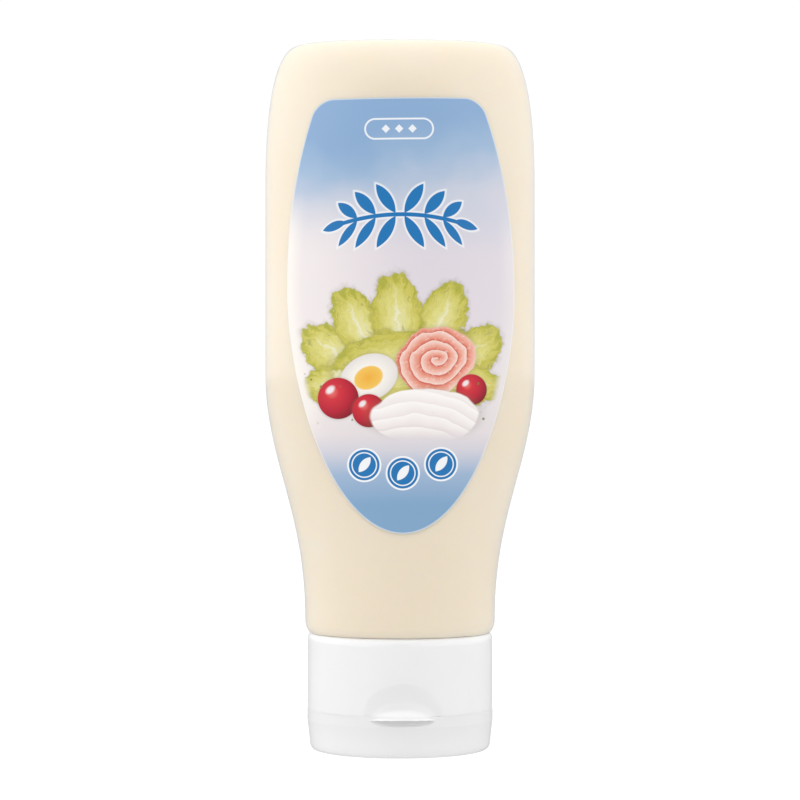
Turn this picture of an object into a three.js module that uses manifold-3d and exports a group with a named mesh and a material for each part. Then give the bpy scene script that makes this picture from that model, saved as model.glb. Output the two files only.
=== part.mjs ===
// A mayonnaise squeeze bottle that stands on its cap, in millimetres, with +Z up.
// The origin is the middle of the cap's flat end, on the table. The front label faces -Y.
import * as THREE from "three";
import { mergeVertices } from "three/addons/utils/BufferGeometryUtils.js";
import Module from "manifold-3d";

// Bottle: a round foot above the cap, an oval belly, and a soft crown that is the bottle's base.
const HEIGHT = 196.1;
const FOOT_BOTTOM = 32.3;
const FOOT_TOP = 36;
const FOOT_INSET = 2.2;
const FOOT_HALF_WIDTH = 26.5;
const FOOT_HALF_DEPTH = 26.2;
const BELLY_BOTTOM = 105;
const BELLY_HALF_WIDTH = 37.65;
const BELLY_HALF_DEPTH = 27.5;
const FLANK_LOW_HANDLE = 31;
const FLANK_HIGH_HANDLE = 24.5;
const CROWN_BOTTOM = 156;
const CROWN_INSET = 9.8;
const CROWN_EXPONENT = 2.43;
const ROUND_EXPONENT = 2;
const BELLY_EXPONENT = 2.2;
const DIMPLE_RIM = 4;
const DIMPLE_SLOPE = 5;
const DIMPLE_DEPTH = 1.2;
const WALL = 0.8;

// Neck: a plain spout that stands in the cap's socket.
const NECK_RADIUS = 17;
const NECK_BORE = 15.8;
const NECK_MOUTH = 18.2;

// Gap between pieces that touch.
const GAP = 0.3;

// Labels: a flat top edge, full sides and a rounded point below, stuck on a little askew.
const LABEL_TOP = 179.3;
const LABEL_WIDEST = 125.9;
const LABEL_BOTTOM = 61.2;
const LABEL_HALF_WIDTH = 31.1;
const LABEL_TOP_NARROWING = 0.287;
const LABEL_TOP_EXPONENT = 2.23;
const LABEL_LOW_EXPONENT = 1.75;
const LABEL_CORNER = 4.4;
const LABEL_FIRST_ANGLE = 0.07;
const LABEL_SHIFT = 0.3;
const LABEL_TILT = THREE.MathUtils.degToRad(0.6);
const LABEL_PIVOT = new THREE.Vector2(0, 120);
const LABEL_LIFT = 0.25;
const LABEL_THICKNESS = 0.25;

// Cap: a round skirt under the bottle and a flip lid under the skirt.
const CAP_RADIUS = 25.8;
const CAP_RIM = 31.8;
const CAP_RIM_ROUNDING = 0.5;
const CAP_DECK = 17.9;
const LID_TOP = 11.3;
const LID_TAPER_TOP = 8.5;
const LID_TAPER_BOTTOM = 2.2;
const LID_LOW_RADIUS = 25.2;
const LID_CORNER_RADIUS = 25.1;
const LID_FLAT_RADIUS = 23.4;

// Thumb scoop: a level hollow across the front of the cap, with a lip on the lid below it.
const SCOOP_HEIGHT = 15.9;
const SCOOP_RADIUS = 5.6;
const SCOOP_HALF_LENGTH = 30;
const SCOOP_DEPTH = 2.6;
const LIP_REACH = 1.2;
const LIP_HALF_LENGTH = 9;
const LIP_CREST = 10.5;
const LIP_DROP = 1.9;

// Hinge strap: a flush tab at the back of the lid that crosses the parting line.
const HINGE_HALF_WIDTH = 8;
const HINGE_BOTTOM = 7;
const HINGE_TOP = 16;
const HINGE_THICKNESS = 1.1;

// Steps along the curves.
const SIDES = 56;
const FOOT_STEPS = 3;
const FLANK_STEPS = 9;
const BELLY_STEPS = 2;
const CROWN_STEPS = 7;
const LABEL_COLUMNS = 14;
const LABEL_TURN = Math.PI / 3;
const LABEL_LOW_ROWS = 9;
const LABEL_HIGH_ROWS = 7;
const CORNER_ROWS = 3;
const CAP_SIDES = 72;
const CAP_CURVE_STEPS = 2;
const LID_CURVE_STEPS = 5;
const SCOOP_SIDES = 40;
const SCOOP_RINGS = 24;

// Tolerances of the search along the flank, and of points that are one.
const SEARCH_STEP = 1e-6;
const SAME_POINT = 1e-4;

const wasm = await Module();
wasm.setup();

const clearPlastic = new THREE.MeshStandardMaterial({
  color: 0xf3f1ec, roughness: 0.12, metalness: 0, transparent: true, opacity: 0.3,
});
const cream = new THREE.MeshStandardMaterial({ color: 0xf3e7cf, roughness: 0.45, metalness: 0 });
const labelFilm = new THREE.MeshStandardMaterial({ color: 0xb9cfe6, roughness: 0.35, metalness: 0 });
const whitePlastic = new THREE.MeshStandardMaterial({ color: 0xf0f0f1, roughness: 0.4, metalness: 0 });

// Two triangles for each step round between neighbouring rings, all of the same count of points.
// The faces look outwards where the rings run downwards and turn anticlockwise, seen from above.
function wallFaces(rings) {
  const count = rings[0].length;
  const faces = [];
  for (let upper = 0; upper < (rings.length - 1) * count; upper += count) {
    for (let side = 0; side < count; side++) {
      const next = (side + 1) % count;
      const lower = upper + count;
      faces.push(upper + side, lower + side, lower + next);
      faces.push(upper + side, lower + next, upper + next);
    }
  }
  return faces;
}

function skinOf(points, faces) {
  const geometry = new THREE.BufferGeometry().setFromPoints(points);
  geometry.setIndex(faces);
  return geometry;
}

function middleOf(ring) {
  return ring.reduce((sum, point) => sum.add(point), new THREE.Vector3()).divideScalar(ring.length);
}

// A closed skin over rings of points, whose first and last ring are filled by a fan.
function closedSkin(rings) {
  const count = rings[0].length;
  const points = [...rings.flat(), middleOf(rings[0]), middleOf(rings.at(-1))];
  const faces = wallFaces(rings);
  const last = (rings.length - 1) * count;
  for (let side = 0; side < count; side++) {
    const next = (side + 1) % count;
    faces.push(points.length - 2, side, next);
    faces.push(points.length - 1, last + next, last + side);
  }
  return skinOf(points, faces);
}

// A closed skin over thin rings, whose first and last ring are filled by strips from face to face.
function slabSkin(rings) {
  const count = rings[0].length;
  const faces = wallFaces(rings);
  const last = (rings.length - 1) * count;
  for (let side = 0; side < count / 2 - 1; side++) {
    const back = count - 1 - side;
    faces.push(side, side + 1, back - 1, side, back - 1, back);
    faces.push(last + side, last + back - 1, last + side + 1);
    faces.push(last + side, last + back, last + back - 1);
  }
  return skinOf(rings.flat(), faces);
}

// Half-width of the flank by height, along one cubic curve from the foot to the belly.
const flank = new THREE.CubicBezierCurve(
  new THREE.Vector2(FOOT_HALF_WIDTH, FOOT_TOP),
  new THREE.Vector2(FOOT_HALF_WIDTH, FOOT_TOP + FLANK_LOW_HANDLE),
  new THREE.Vector2(BELLY_HALF_WIDTH, BELLY_BOTTOM - FLANK_HIGH_HANDLE),
  new THREE.Vector2(BELLY_HALF_WIDTH, BELLY_BOTTOM),
);

function flankHalfWidth(height) {
  if (height <= FOOT_TOP) return FOOT_HALF_WIDTH;
  if (height >= BELLY_BOTTOM) return BELLY_HALF_WIDTH;
  let low = 0;
  let high = 1;
  while (high - low > SEARCH_STEP) {
    const t = (low + high) / 2;
    if (flank.getPoint(t).y < height) low = t;
    else high = t;
  }
  return flank.getPoint(low).x;
}

// The crown draws in along a quarter of a superellipse, up to the height given.
function crownInset(height, top = HEIGHT) {
  const rise = THREE.MathUtils.clamp((height - CROWN_BOTTOM) / (top - CROWN_BOTTOM), 0, 1);
  return CROWN_INSET * (1 - (1 - rise ** CROWN_EXPONENT) ** (1 / CROWN_EXPONENT));
}

// The level section at a height: its half-width, half-depth and exponent, from round to oval.
function sectionAt(height, inset) {
  const halfWidth = flankHalfWidth(height);
  const fullness = (halfWidth - FOOT_HALF_WIDTH) / (BELLY_HALF_WIDTH - FOOT_HALF_WIDTH);
  return {
    height,
    halfWidth: halfWidth - inset,
    halfDepth: THREE.MathUtils.lerp(FOOT_HALF_DEPTH, BELLY_HALF_DEPTH, fullness) - inset,
    exponent: THREE.MathUtils.lerp(ROUND_EXPONENT, BELLY_EXPONENT, fullness),
  };
}

function ringOf({ height, halfWidth, halfDepth, exponent }) {
  const bend = (value) => Math.sign(value) * Math.abs(value) ** (2 / exponent);
  return Array.from({ length: SIDES }, (_, side) => {
    const angle = (2 * Math.PI * side) / SIDES;
    const across = halfWidth * bend(Math.cos(angle));
    return new THREE.Vector3(across, halfDepth * bend(Math.sin(angle)), height);
  });
}

const roundRing = (radius, height) =>
  ringOf({ height, halfWidth: radius, halfDepth: radius, exponent: ROUND_EXPONENT });

// Rings from the crown's top down to the foot's bottom, of the bottle made smaller all round.
function bodyRings(shrink) {
  const top = HEIGHT - shrink;
  const bottom = FOOT_BOTTOM + shrink;
  const rings = [];
  for (let step = CROWN_STEPS; step > 0; step--) {
    const rise = Math.sin((Math.PI / 2) * (step / CROWN_STEPS)) ** (2 / CROWN_EXPONENT);
    const height = THREE.MathUtils.lerp(CROWN_BOTTOM, top, rise);
    rings.push(ringOf(sectionAt(height, crownInset(height, top) + shrink)));
  }
  for (let step = BELLY_STEPS; step > 0; step--) {
    const height = THREE.MathUtils.lerp(BELLY_BOTTOM, CROWN_BOTTOM, step / BELLY_STEPS);
    rings.push(ringOf(sectionAt(height, shrink)));
  }
  for (let step = FLANK_STEPS; step >= 0; step--) {
    const height = THREE.MathUtils.lerp(FOOT_TOP, BELLY_BOTTOM, step / FLANK_STEPS);
    rings.push(ringOf(sectionAt(height, shrink)));
  }
  for (let step = 1; step <= FOOT_STEPS; step++) {
    const turn = (Math.PI / 2) * (step / FOOT_STEPS);
    const height = FOOT_TOP - (FOOT_TOP - bottom) * Math.sin(turn);
    rings.push(ringOf(sectionAt(height, FOOT_INSET * (1 - Math.cos(turn)) + shrink)));
  }
  return rings;
}

// The shallow dimple in the bottle's base, from its floor out to the flat rim round it.
function dimpleRings() {
  const rim = sectionAt(HEIGHT, CROWN_INSET + DIMPLE_RIM);
  const floor = sectionAt(HEIGHT, CROWN_INSET + DIMPLE_RIM + DIMPLE_SLOPE);
  return [ringOf({ ...floor, height: HEIGHT - DIMPLE_DEPTH }), ringOf(rim)];
}

function bottleGeometry() {
  const inner = [
    ...bodyRings(WALL).slice(0, -1),
    roundRing(NECK_BORE, FOOT_BOTTOM + WALL),
    roundRing(NECK_BORE, NECK_MOUTH),
  ];
  const floor = sectionAt(HEIGHT, CROWN_INSET + WALL + DIMPLE_RIM);
  inner[0] = ringOf({ ...floor, height: HEIGHT - DIMPLE_DEPTH - WALL });
  return closedSkin([
    ...dimpleRings(),
    ...bodyRings(0),
    roundRing(NECK_RADIUS, FOOT_BOTTOM),
    roundRing(NECK_RADIUS, NECK_MOUTH),
    ...inner.reverse(),
  ]);
}

function mayonnaiseGeometry() {
  const shrink = WALL + GAP;
  const rings = bodyRings(shrink).slice(0, -1);
  const floor = sectionAt(HEIGHT, CROWN_INSET + shrink + DIMPLE_RIM);
  rings[0] = ringOf({ ...floor, height: HEIGHT - DIMPLE_DEPTH - shrink });
  return closedSkin([
    ...rings,
    roundRing(NECK_BORE - GAP, FOOT_BOTTOM + shrink),
    roundRing(NECK_BORE - GAP, NECK_MOUTH + GAP),
  ]);
}

// Depth of the bottle's face in front of its axis, at a place on it, with the face moved out by lift.
function faceDepth(across, height, lift) {
  const { halfWidth, halfDepth, exponent } = sectionAt(height, crownInset(height) - lift);
  return halfDepth * (1 - Math.abs(across / halfWidth) ** exponent) ** (1 / exponent);
}

// Half-width of the label by height: nearly half an ellipse below its widest line, a slower curve
// above it, and round corners under the top edge.
function labelHalfWidth(height) {
  if (height <= LABEL_WIDEST) {
    const drop = (LABEL_WIDEST - height) / (LABEL_WIDEST - LABEL_BOTTOM);
    return LABEL_HALF_WIDTH * Math.sqrt(1 - drop ** LABEL_LOW_EXPONENT);
  }
  const rise = (height - LABEL_WIDEST) / (LABEL_TOP - LABEL_WIDEST);
  const side = LABEL_HALF_WIDTH * (1 - LABEL_TOP_NARROWING * rise ** LABEL_TOP_EXPONENT);
  const above = THREE.MathUtils.clamp((height - LABEL_TOP) / LABEL_CORNER + 1, 0, 1);
  return side - LABEL_CORNER * (1 - Math.sqrt(1 - above ** 2));
}

function labelHeights() {
  const heights = [];
  for (let row = 0; row <= LABEL_LOW_ROWS; row++) {
    const angle = THREE.MathUtils.lerp(LABEL_FIRST_ANGLE, Math.PI / 2, row / LABEL_LOW_ROWS);
    heights.push(LABEL_WIDEST - (LABEL_WIDEST - LABEL_BOTTOM) * Math.cos(angle));
  }
  const corner = LABEL_TOP - LABEL_CORNER;
  for (let row = 1; row <= LABEL_HIGH_ROWS; row++) {
    heights.push(THREE.MathUtils.lerp(LABEL_WIDEST, corner, row / LABEL_HIGH_ROWS));
  }
  for (let row = 1; row <= CORNER_ROWS; row++) {
    heights.push(corner + LABEL_CORNER * Math.sin((Math.PI / 2) * (row / CORNER_ROWS)));
  }
  return heights;
}

// A thin curved slab. Each of its rows is one ring: out along its outer face and back along its
// inner face. Its columns lie closer together towards the sides, where the bottle bends more.
function labelGeometry() {
  const across = Array.from({ length: LABEL_COLUMNS + 1 }, (_, column) => {
    const turn = LABEL_TURN * ((2 * column) / LABEL_COLUMNS - 1);
    return Math.sin(turn) / Math.sin(LABEL_TURN);
  });
  const rings = labelHeights().reverse().map((height) => {
    const point = (share, lift) => {
      const flat = new THREE.Vector2(LABEL_SHIFT + share * labelHalfWidth(height), height);
      const { x, y: z } = flat.rotateAround(LABEL_PIVOT, LABEL_TILT);
      return new THREE.Vector3(x, -faceDepth(x, z, lift), z);
    };
    return [
      ...across.map((share) => point(share, LABEL_LIFT + LABEL_THICKNESS)),
      ...across.map((share) => point(share, LABEL_LIFT)).reverse(),
    ];
  });
  return slabSkin(rings);
}

// Turns a profile of radius and height round the Z axis.
function turned(path, curveSteps) {
  return new THREE.LatheGeometry(path.getPoints(curveSteps), CAP_SIDES).rotateX(Math.PI / 2);
}

function solidOf(geometry) {
  geometry.deleteAttribute("normal");
  geometry.deleteAttribute("uv");
  const merged = mergeVertices(geometry, SAME_POINT);
  const triVerts = [];
  for (let i = 0; i < merged.index.count; i += 3) {
    const [a, b, c] = merged.index.array.slice(i, i + 3);
    if (a !== b && b !== c && c !== a) triVerts.push(a, b, c);
  }
  return new wasm.Manifold(new wasm.Mesh({
    numProp: 3,
    vertProperties: merged.attributes.position.array,
    triVerts: new Uint32Array(triVerts),
  }));
}

function geometryOf(solid) {
  const { vertProperties, triVerts } = solid.getMesh();
  const geometry = new THREE.BufferGeometry();
  geometry.setAttribute("position", new THREE.BufferAttribute(vertProperties, 3));
  geometry.setIndex(new THREE.BufferAttribute(triVerts, 1));
  return geometry;
}

function scoopTool() {
  const geometry = new THREE.SphereGeometry(1, SCOOP_SIDES, SCOOP_RINGS);
  geometry.rotateZ(Math.PI / 2).scale(SCOOP_HALF_LENGTH, SCOOP_RADIUS, SCOOP_RADIUS);
  geometry.translate(0, -(CAP_RADIUS - SCOOP_DEPTH + SCOOP_RADIUS), SCOOP_HEIGHT);
  return solidOf(geometry);
}

// A block at the back of the cap, kept inside the radius given.
function hingeBlock(halfWidth, thickness, bottom, top, radius) {
  const block = new THREE.BoxGeometry(2 * halfWidth, CAP_RADIUS, top - bottom);
  const inner = Math.sqrt(CAP_RADIUS ** 2 - halfWidth ** 2) - thickness;
  block.translate(0, inner + CAP_RADIUS / 2, (bottom + top) / 2);
  const round = new THREE.CylinderGeometry(radius, radius, HEIGHT, CAP_SIDES);
  return solidOf(block).intersect(solidOf(round.rotateX(Math.PI / 2)));
}

function skirtGeometry() {
  const bottom = LID_TOP + GAP;
  const profile = new THREE.Path().moveTo(0, bottom).lineTo(CAP_RADIUS, bottom);
  profile.lineTo(CAP_RADIUS, CAP_RIM - CAP_RIM_ROUNDING);
  const rim = CAP_RIM - CAP_RIM_ROUNDING;
  profile.absarc(CAP_RADIUS - CAP_RIM_ROUNDING, rim, CAP_RIM_ROUNDING, 0, Math.PI / 2);
  const socket = NECK_RADIUS + GAP;
  profile.lineTo(socket, CAP_RIM).lineTo(socket, CAP_DECK).lineTo(0, CAP_DECK);
  const wide = HINGE_HALF_WIDTH + GAP;
  const recess = hingeBlock(wide, HINGE_THICKNESS + GAP, HINGE_BOTTOM, HINGE_TOP + GAP, 2 * CAP_RADIUS);
  return geometryOf(solidOf(turned(profile, CAP_CURVE_STEPS)).subtract(scoopTool()).subtract(recess));
}

// The lip is an upright round of its own, wide enough to leave the lid's wall at both ends.
function lipSolid() {
  const front = CAP_RADIUS + LIP_REACH;
  const end = Math.sqrt(CAP_RADIUS ** 2 - LIP_HALF_LENGTH ** 2);
  const radius = (LIP_HALF_LENGTH ** 2 + (front - end) ** 2) / (2 * (front - end));
  const profile = new THREE.Path().moveTo(0, LIP_CREST - LIP_DROP);
  profile.lineTo(radius - LIP_REACH - GAP, LIP_CREST - LIP_DROP).lineTo(radius, LIP_CREST);
  profile.lineTo(radius, LID_TOP).lineTo(0, LID_TOP);
  return solidOf(turned(profile, 1).translate(0, radius - front, 0));
}

function lidGeometry() {
  const profile = new THREE.Path().moveTo(0, 0).lineTo(LID_FLAT_RADIUS, 0);
  profile.quadraticCurveTo(LID_CORNER_RADIUS, 0, LID_LOW_RADIUS, LID_TAPER_BOTTOM);
  profile.lineTo(CAP_RADIUS, LID_TAPER_TOP).lineTo(CAP_RADIUS, LID_TOP).lineTo(0, LID_TOP);
  const strap = hingeBlock(HINGE_HALF_WIDTH, HINGE_THICKNESS, HINGE_BOTTOM, HINGE_TOP, CAP_RADIUS);
  const lid = solidOf(turned(profile, LID_CURVE_STEPS)).add(lipSolid());
  return geometryOf(lid.subtract(scoopTool()).add(strap));
}

const group = new THREE.Group();

function place(name, geometry, material) {
  const mesh = new THREE.Mesh(geometry, material);
  mesh.name = name;
  group.add(mesh);
  return mesh;
}

place("bottle", bottleGeometry(), clearPlastic);
place("mayonnaise", mayonnaiseGeometry(), cream);
place("label_front", labelGeometry(), labelFilm);
place("label_back", labelGeometry(), labelFilm).rotation.z = Math.PI;
place("cap_skirt", skirtGeometry(), whitePlastic);
place("cap_lid", lidGeometry(), whitePlastic);

export default group;
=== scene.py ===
# %% [markdown]
# # A squeeze bottle of mayonnaise that stands on its cap
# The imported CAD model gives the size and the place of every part. This notebook makes finer
# pieces in the same places: a clear wall, its filling, two printed labels, and a cap of two parts.
# Each step says what the real thing is, how it could be made, and why it is made this way.

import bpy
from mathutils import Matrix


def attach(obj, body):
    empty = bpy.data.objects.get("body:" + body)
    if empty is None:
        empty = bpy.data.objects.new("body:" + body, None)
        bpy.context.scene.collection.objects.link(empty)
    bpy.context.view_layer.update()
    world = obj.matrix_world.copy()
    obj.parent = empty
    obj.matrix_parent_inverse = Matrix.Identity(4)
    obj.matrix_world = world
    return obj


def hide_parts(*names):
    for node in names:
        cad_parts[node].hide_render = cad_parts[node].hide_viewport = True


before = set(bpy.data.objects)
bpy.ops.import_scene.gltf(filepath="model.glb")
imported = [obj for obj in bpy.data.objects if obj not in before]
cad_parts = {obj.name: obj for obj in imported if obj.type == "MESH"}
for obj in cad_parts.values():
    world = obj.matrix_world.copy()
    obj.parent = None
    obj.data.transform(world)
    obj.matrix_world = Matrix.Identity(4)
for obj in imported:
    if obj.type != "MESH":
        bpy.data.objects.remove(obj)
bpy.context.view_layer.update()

# %% The modules that the rest uses
import math
from functools import partialmethod, reduce

import bmesh
import bpy
from mathutils import Matrix, Vector, kdtree

MM = 0.001
scene = bpy.context.scene

# %% [markdown]
# ## Camera
# The product photograph is level, with a long lens and no lean in its upright lines. From the
# outline, such a lens stands about 0.8 m away, at half the bottle's height.

# %% Camera at the photograph's place
CAMERA_DISTANCE = 800 * MM
CAMERA_HEIGHT = 97.4 * MM
LENS = 128.6
SENSOR = 36.0

camera_data = bpy.data.cameras.new("camera")
camera_data.lens = LENS
camera_data.sensor_width = SENSOR
camera_data.clip_start = 0.01
camera_data.clip_end = 100
camera = bpy.data.objects.new("camera", camera_data)
camera.location = (0, -CAMERA_DISTANCE, CAMERA_HEIGHT)
camera.rotation_euler = (math.pi / 2, 0, 0)
scene.collection.objects.link(camera)
scene.camera = camera

# %% [markdown]
# ## Shader sums written as Python
# A material is a graph of small nodes, and its maths is hard to read as a list of links. One class
# wraps the output of a node, so that a sum of two wires adds a Math node, and one class wraps the
# whole tree, with a single method that adds any node.

# %% A wire and a tree of nodes
class Wire:
    """One output of a shader node. Sums and comparisons on it add Math nodes to its tree."""

    def __init__(self, tree, socket):
        self.tree = tree
        self.socket = socket

    def math(self, operation, *others):
        return self.tree.math(operation, self, *others)

    def __rsub__(self, other):
        return self.tree.math("SUBTRACT", other, self)

    __add__ = __radd__ = partialmethod(math, "ADD")
    __sub__ = partialmethod(math, "SUBTRACT")
    __mul__ = __rmul__ = partialmethod(math, "MULTIPLY")
    __truediv__ = partialmethod(math, "DIVIDE")
    __pow__ = partialmethod(math, "POWER")
    __abs__ = partialmethod(math, "ABSOLUTE")
    at_least = partialmethod(math, "MAXIMUM")
    at_most = partialmethod(math, "MINIMUM")

    def rise(self, low, high):
        """0 at low, 1 at high, with soft ends. Low may be the larger of the two."""
        values = {"Value": self, "From Min": low, "From Max": high}
        return self.tree.node("MapRange", values, interpolation_type="SMOOTHSTEP")


class Tree:
    """The node tree of a material or of the world."""

    def __init__(self, owner):
        owner.use_nodes = True
        self.nodes = owner.node_tree.nodes
        self.links = owner.node_tree.links
        self.nodes.clear()

    def node(self, kind, values=None, output=0, **settings):
        """Adds a shader node, makes its settings first, and then feeds its sockets."""
        made = self.nodes.new("ShaderNode" + kind)
        for name, setting in settings.items():
            if name == "stops":
                self.set_stops(made.color_ramp, setting)
            else:
                setattr(made, name, setting)
        for key, value in (values or {}).items():
            socket = self.find(made.inputs, key)
            if isinstance(value, Wire):
                self.links.new(value.socket, socket)
            else:
                socket.default_value = value
        return Wire(self, self.find(made.outputs, output))

    @staticmethod
    def find(sockets, key):
        """The socket of that number, or the one in use that has that name."""
        if isinstance(key, int):
            return [socket for socket in sockets if socket.enabled][key]
        return next(socket for socket in sockets if socket.enabled and socket.name == key)

    @staticmethod
    def set_stops(ramp, stops):
        for element, (place, colour) in zip([*ramp.elements], stops):
            element.position, element.color = place, (*colour, 1)
        for place, colour in stops[2:]:
            ramp.elements.new(place).color = (*colour, 1)

    def math(self, operation, *values):
        return self.node("Math", dict(enumerate(values)), operation=operation)

    def vector(self, operation, *values, output=0):
        return self.node("VectorMath", dict(enumerate(values)), output, operation=operation)

    def length(self, wire):
        return self.vector("LENGTH", wire, output="Value")

    def combine(self, x=0.0, y=0.0, z=0.0):
        return self.node("CombineXYZ", {"X": x, "Y": y, "Z": z})

    def split(self, wire):
        """The three numbers of a vector."""
        parts = self.node("SeparateXYZ", {"Vector": wire})
        return [Wire(self, socket) for socket in parts.socket.node.outputs]

    def place(self):
        """The point on the surface, in metres, in the object's own frame."""
        return self.node("TexCoord", output="Object")

    def noise(self, where, size, detail=2.0, roughness=0.5, output="Fac"):
        """Cloudy noise whose lumps are about as large as the size given."""
        values = {"Vector": where, "Scale": 1 / size, "Detail": detail, "Roughness": roughness}
        return self.node("TexNoise", values, output)

    def ramp(self, wire, *stops):
        return self.node("ValToRGB", {"Fac": wire}, "Color", stops=stops)

    def mix(self, below, above, share):
        """Colour above laid over colour below, as far as the share says."""
        values = {"Factor": share, "A": solid(below), "B": solid(above)}
        return self.node("Mix", values, data_type="RGBA")

    def bump(self, height, depth, normal=None):
        """A surface normal from a height of 0 to 1 that stands for the depth given."""
        values = {"Height": height, "Distance": depth, "Strength": 1.0}
        if normal is not None:
            values["Normal"] = normal
        return self.node("Bump", values)

    def principled(self, **values):
        named = {name.replace("_", " "): value for name, value in values.items()}
        named["Base Color"] = solid(named["Base Color"])
        return self.node("BsdfPrincipled", named)

    def finish(self, shader, owner="Material"):
        output = self.nodes.new("ShaderNodeOutput" + owner)
        self.links.new(shader.socket, output.inputs["Surface"])


def solid(colour):
    """A colour as four numbers, or the wire itself where the colour changes over the surface."""
    return colour if isinstance(colour, Wire) else (*colour[:3], 1)


def seen(red, green, blue):
    """A colour as a screen shows it, from 0 to 255, turned into linear light."""
    def linear(value):
        value /= 255
        return value / 12.92 if value <= 0.04045 else ((value + 0.055) / 1.055) ** 2.4
    return tuple(linear(value) for value in (red, green, blue))


# %% [markdown]
# ## Light tent and table
# Such a bottle is photographed in a tent of white cloth, on a white table that is lit from below.
# The light comes from all round, strongest from above and from the left, and weakest from the
# camera's side, where the tent is open. Lamps on stands could do the same, but a world that fades
# softly between directions gives less noise. The glow of the table takes the dark line from under
# the cap. A light sheet shines upwards more than sideways, so the flat rays that the bottle's
# edges mirror find it darker, and the white edges stand out from the white backdrop.

# %% The tent
TENT_BASE = 0.88
TENT_TOP = 0.66
TENT_LEFT = 0.66
TENT_RIGHT = 0.33
TENT_BACK = -0.2
TENT_SHARPNESS = 2.0
OPENING_DEPTH = 0.62
OPENING_EDGE = (0.75, 0.95)
BACKDROP_WHITE = 1.05

world = bpy.data.worlds.new("light_tent")
scene.world = world
tent = Tree(world)
direction = tent.node("TexCoord", output="Generated")
east, north, up = tent.split(direction)
west, south = 0.0 - east, 0.0 - north
glow = TENT_BASE - south.rise(*OPENING_EDGE) * OPENING_DEPTH
for way, more in ((up, TENT_TOP), (west, TENT_LEFT), (east, TENT_RIGHT), (north, TENT_BACK)):
    glow = glow + way.at_least(0.0) ** TENT_SHARPNESS * more
looked_at = tent.node("LightPath", output="Is Camera Ray")
brightness = glow + looked_at * (BACKDROP_WHITE - glow)
shining = {"Color": (1, 1, 1, 1), "Strength": brightness}
tent.finish(tent.node("Background", shining), "World")

scene.view_settings.view_transform = "Standard"

# %% The table, a wide white disc that glows and fades into the backdrop
FLOOR_RADIUS = 30.0
FLOOR_BELOW = 0.02 * MM
TABLE_WHITE = 0.15
TABLE_GLOW = 0.78
TABLE_GLOW_MIRRORED = 0.38
TABLE_GLOW_SEEN = 0.93
SHARP_ANGLE = math.radians(35)


def finished(name, bm, material):
    """Turns a bmesh into an object at the origin, smooth but for its sharp edges."""
    mesh = bpy.data.meshes.new(name)
    bm.to_mesh(mesh)
    bm.free()
    mesh.shade_smooth()
    mesh.set_sharp_from_angle(angle=SHARP_ANGLE)
    mesh.materials.append(material)
    made = bpy.data.objects.new(name, mesh)
    scene.collection.objects.link(made)
    print(name, len(mesh.vertices), "points", [round(side / MM, 2) for side in made.dimensions])
    return made


def new_material(name):
    material = bpy.data.materials.new(name)
    return material, Tree(material)


floor_material, paint = new_material("floor_white")
looked_at = paint.node("LightPath", output="Is Camera Ray")
mirrored = paint.node("LightPath", output="Is Glossy Ray")
strength = looked_at * (TABLE_GLOW_SEEN - TABLE_GLOW) + TABLE_GLOW
strength = strength + mirrored * (TABLE_GLOW_MIRRORED - TABLE_GLOW)
white_sheet = paint.node("BsdfDiffuse", {"Color": (*[TABLE_WHITE] * 3, 1)})
glow_below = paint.node("Emission", {"Color": (1, 1, 1, 1), "Strength": strength})
paint.finish(paint.node("AddShader", {0: white_sheet, 1: glow_below}))

bm = bmesh.new()
bmesh.ops.create_circle(bm, cap_ends=True, segments=96, radius=FLOOR_RADIUS)
bmesh.ops.translate(bm, vec=(0, 0, -FLOOR_BELOW), verts=bm.verts)
finished("floor", bm, floor_material)

# %% [markdown]
# ## The bottle's form
# The bottle is blown in a mould. Its level sections go from a circle at the foot to a soft oval at
# the belly, and a rounded crown closes it. A subdivided cage could follow that by eye. Here the
# section at each height is a superellipse worked out from a few sizes, the same ones that the CAD
# part uses, so that the fine pieces and the plain solids are one shape.

# %% Sizes of the bottle
HEIGHT = 196.1 * MM
FOOT_BOTTOM = 32.3 * MM
FOOT_TOP = 36 * MM
FOOT_INSET = 2.2 * MM
FOOT_HALF_WIDTH = 26.5 * MM
FOOT_HALF_DEPTH = 26.2 * MM
BELLY_BOTTOM = 105 * MM
BELLY_HALF_WIDTH = 37.65 * MM
BELLY_HALF_DEPTH = 27.5 * MM
FLANK_LOW_HANDLE = 31 * MM
FLANK_HIGH_HANDLE = 24.5 * MM
CROWN_BOTTOM = 156 * MM
CROWN_INSET = 9.8 * MM
CROWN_EXPONENT = 2.43
ROUND_EXPONENT = 2.0
BELLY_EXPONENT = 2.2
DIMPLE_RIM = 4 * MM
DIMPLE_SLOPE = 5 * MM
DIMPLE_DEPTH = 1.2 * MM
WALL = 0.8 * MM
NECK_RADIUS = 17 * MM
NECK_BORE = 15.8 * MM
NECK_MOUTH = 18.2 * MM


def in_mm(*values):
    return [value * MM for value in values]


def lerp(start, end, share):
    return start + (end - start) * share


def limit(value):
    return min(max(value, 0.0), 1.0)


def bezier(points, t):
    u = 1 - t
    weights = (u ** 3, 3 * u * u * t, 3 * u * t * t, t ** 3)
    return sum(weight * point for weight, point in zip(weights, points))


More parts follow.
